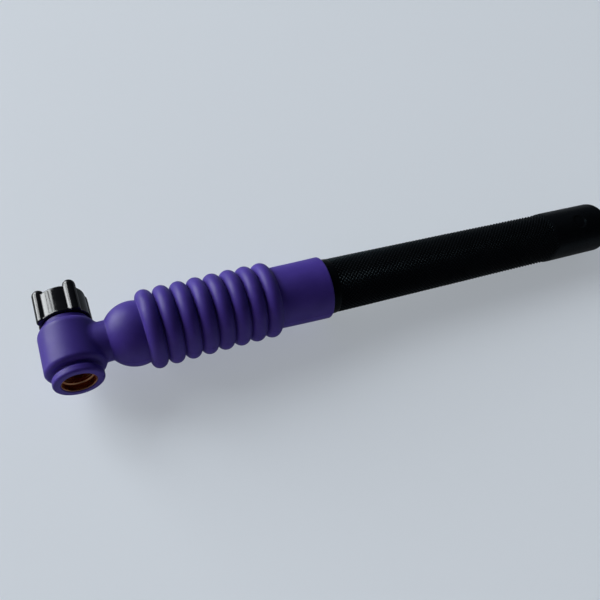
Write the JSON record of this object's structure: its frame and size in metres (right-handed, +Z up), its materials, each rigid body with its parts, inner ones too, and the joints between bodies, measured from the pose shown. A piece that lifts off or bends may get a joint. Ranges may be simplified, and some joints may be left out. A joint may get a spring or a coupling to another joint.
{
  "type": "tig torch",
  "caption": "Air-cooled TIG torch body with a silicone-jacketed head, bendable ribbed neck, short screw-on back cap and a knurled tubular handle.",
  "frame": {"origin": "where the head's barrel axis crosses the neck's centreline", "axes": "+X along the handle towards the cable end, head bore towards -Y, back cap towards +Y, +Z up with the torch lying on its side"},
  "size_m": [0.2135, 0.0332, 0.0254],
  "materials": {
    "silicone_jacket": "satin moulded silicone",
    "cap_moulding": "gloss",
    "handle_moulding": "diamond knurl, satin",
    "head_copper": "machined",
    "fitting_brass": "machined",
    "neck_copper": "annealed",
    "seal_rubber": "satin"
  },
  "bodies": {
    "root": {"handle": "handle_moulding", "jacket_sleeve": "silicone_jacket", "cable_adapter": "fitting_brass", "neck_tube_rear": "neck_copper"},
    "neck_bend_9": {"neck_tube_9": "neck_copper"},
    "neck_ring_8": {"neck_rib_8": "silicone_jacket"},
    "neck_bend_8": {"neck_tube_8": "neck_copper"},
    "neck_ring_7": {"neck_rib_7": "silicone_jacket"},
    "neck_bend_7": {"neck_tube_7": "neck_copper"},
    "neck_ring_6": {"neck_rib_6": "silicone_jacket"},
    "neck_bend_6": {"neck_tube_6": "neck_copper"},
    "neck_ring_5": {"neck_rib_5": "silicone_jacket"},
    "neck_bend_5": {"neck_tube_5": "neck_copper"},
    "neck_ring_4": {"neck_rib_4": "silicone_jacket"},
    "neck_bend_4": {"neck_tube_4": "neck_copper"},
    "neck_ring_3": {"neck_rib_3": "silicone_jacket"},
    "neck_bend_3": {"neck_tube_3": "neck_copper"},
    "neck_ring_2": {"neck_rib_2": "silicone_jacket"},
    "neck_bend_2": {"neck_tube_2": "neck_copper"},
    "neck_ring_1": {"neck_rib_1": "silicone_jacket"},
    "neck_bend_1": {"neck_tube_1": "neck_copper"},
    "head": {"head_jacket": "silicone_jacket", "head_block": "head_copper", "neck_tube_front": "neck_copper"},
    "cap_ring": {"back_cap_o_ring": "seal_rubber"},
    "cap": {"back_cap": "cap_moulding", "back_cap_insert": "fitting_brass"}
  },
  "joints": [
    {"name": "neck_swing_9", "type": "hinge", "parent": "root", "child": "neck_bend_9", "pos_m": [0.06442, 0.00201, 0], "axis": [0.003, 0.002, 1], "range_deg": [-5, 5]},
    {"name": "neck_lift_9", "type": "hinge", "parent": "neck_bend_9", "child": "neck_ring_8", "pos_m": [0.06442, 0.00201, 0], "axis": [-0.0006, 1, 0], "range_deg": [-5, 5]},
    {"name": "neck_swing_8", "type": "hinge", "parent": "neck_ring_8", "child": "neck_bend_8", "pos_m": [0.05898, 0.00199, 0], "axis": [0.003, 0.002, 1], "range_deg": [-5, 5]},
    {"name": "neck_lift_8", "type": "hinge", "parent": "neck_bend_8", "child": "neck_ring_7", "pos_m": [0.05898, 0.00199, 0], "axis": [-0.0063, 1, 0], "range_deg": [-5, 5]},
    {"name": "neck_swing_7", "type": "hinge", "parent": "neck_ring_7", "child": "neck_bend_7", "pos_m": [0.05355, 0.00194, 0], "axis": [0.003, 0.002, 1], "range_deg": [-5, 5]},
    {"name": "neck_lift_7", "type": "hinge", "parent": "neck_bend_7", "child": "neck_ring_6", "pos_m": [0.05355, 0.00194, 0], "axis": [-0.0121, 0.9999, 0], "range_deg": [-5, 5]},
    {"name": "neck_swing_6", "type": "hinge", "parent": "neck_ring_6", "child": "neck_bend_6", "pos_m": [0.04811, 0.00186, 0], "axis": [0.003, 0.002, 1], "range_deg": [-5, 5]},
    {"name": "neck_lift_6", "type": "hinge", "parent": "neck_bend_6", "child": "neck_ring_5", "pos_m": [0.04811, 0.00186, 0], "axis": [-0.0178, 0.9998, 0], "range_deg": [-5, 5]},
    {"name": "neck_swing_5", "type": "hinge", "parent": "neck_ring_5", "child": "neck_bend_5", "pos_m": [0.04268, 0.00175, 0], "axis": [0.003, 0.002, 1], "range_deg": [-5, 5]},
    {"name": "neck_lift_5", "type": "hinge", "parent": "neck_bend_5", "child": "neck_ring_4", "pos_m": [0.04268, 0.00175, 0], "axis": [-0.0236, 0.9997, 0], "range_deg": [-5, 5]},
    {"name": "neck_swing_4", "type": "hinge", "parent": "neck_ring_4", "child": "neck_bend_4", "pos_m": [0.03725, 0.00161, 0], "axis": [0.003, 0.002, 1], "range_deg": [-5, 5]},
    {"name": "neck_lift_4", "type": "hinge", "parent": "neck_bend_4", "child": "neck_ring_3", "pos_m": [0.03725, 0.00161, 0], "axis": [-0.0293, 0.9996, 0], "range_deg": [-5, 5]},
    {"name": "neck_swing_3", "type": "hinge", "parent": "neck_ring_3", "child": "neck_bend_3", "pos_m": [0.03182, 0.00143, 0], "axis": [0.003, 0.002, 1], "range_deg": [-5, 5]},
    {"name": "neck_lift_3", "type": "hinge", "parent": "neck_bend_3", "child": "neck_ring_2", "pos_m": [0.03182, 0.00143, 0], "axis": [-0.035, 0.9994, 0], "range_deg": [-5, 5]},
    {"name": "neck_swing_2", "type": "hinge", "parent": "neck_ring_2", "child": "neck_bend_2", "pos_m": [0.02639, 0.00123, 0], "axis": [0.003, 0.002, 1], "range_deg": [-5, 5]},
    {"name": "neck_lift_2", "type": "hinge", "parent": "neck_bend_2", "child": "neck_ring_1", "pos_m": [0.02639, 0.00123, 0], "axis": [-0.0408, 0.9992, 0], "range_deg": [-5, 5]},
    {"name": "neck_swing_1", "type": "hinge", "parent": "neck_ring_1", "child": "neck_bend_1", "pos_m": [0.02096, 0.00099, 0], "axis": [0.003, 0.002, 1], "range_deg": [-5, 5]},
    {"name": "neck_lift_1", "type": "hinge", "parent": "neck_bend_1", "child": "head", "pos_m": [0.02096, 0.00099, 0], "axis": [-0.0465, 0.9989, 0], "range_deg": [-5, 5]},
    {"name": "cap_travel", "type": "slide", "parent": "head", "child": "cap_ring", "axis": [-0.0471, 0.9989, 0], "range_m": [0, 0.00397]},
    {"name": "cap_turn", "type": "hinge", "parent": "cap_ring", "child": "cap", "pos_m": [-0.00042, 0.00899, 0], "axis": [-0.0471, 0.9989, 0], "range_deg": [0, 1800]}
  ],
  "couplings": [
    {"joint": "neck_swing_8", "follows": "neck_swing_9", "ratio": 1},
    {"joint": "neck_lift_8", "follows": "neck_lift_9", "ratio": 1},
    {"joint": "neck_swing_7", "follows": "neck_swing_9", "ratio": 1},
    {"joint": "neck_lift_7", "follows": "neck_lift_9", "ratio": 1},
    {"joint": "neck_swing_6", "follows": "neck_swing_9", "ratio": 1},
    {"joint": "neck_lift_6", "follows": "neck_lift_9", "ratio": 1},
    {"joint": "neck_swing_5", "follows": "neck_swing_9", "ratio": 1},
    {"joint": "neck_lift_5", "follows": "neck_lift_9", "ratio": 1},
    {"joint": "neck_swing_4", "follows": "neck_swing_9", "ratio": 1},
    {"joint": "neck_lift_4", "follows": "neck_lift_9", "ratio": 1},
    {"joint": "neck_swing_3", "follows": "neck_swing_9", "ratio": 1},
    {"joint": "neck_lift_3", "follows": "neck_lift_9", "ratio": 1},
    {"joint": "neck_swing_2", "follows": "neck_swing_9", "ratio": 1},
    {"joint": "neck_lift_2", "follows": "neck_lift_9", "ratio": 1},
    {"joint": "neck_swing_1", "follows": "neck_swing_9", "ratio": 1},
    {"joint": "neck_lift_1", "follows": "neck_lift_9", "ratio": 1},
    {"joint": "cap_turn", "follows": "cap_travel", "rad_per_m": 7915.8}
  ]
}
